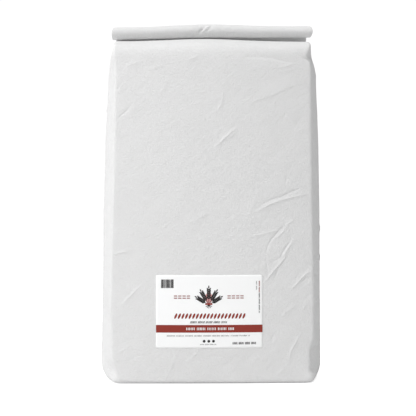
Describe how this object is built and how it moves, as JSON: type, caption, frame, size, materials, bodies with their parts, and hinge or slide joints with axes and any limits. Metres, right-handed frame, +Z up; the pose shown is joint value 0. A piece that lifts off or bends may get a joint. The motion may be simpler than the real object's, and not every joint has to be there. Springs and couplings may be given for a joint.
{
  "type": "bag of flour",
  "caption": "Filled paper bag of flour standing upright, with side gussets, a forward-rolled top and a plain stick-on label low on the front.",
  "frame": {"origin": "middle of the base, at the height it rests on", "axes": "+Z up along the bag, -Y out of the labelled front panel, +X to the right as seen from the front"},
  "size_m": [0.3185, 0.1588, 0.5135],
  "materials": {
    "paper": "matte, smooth bleached paper",
    "label_stock": "semi-matte coated label with a printed design"
  },
  "bodies": {
    "root": {"bag": "paper", "label": "label_stock"}
  },
  "joints": []
}
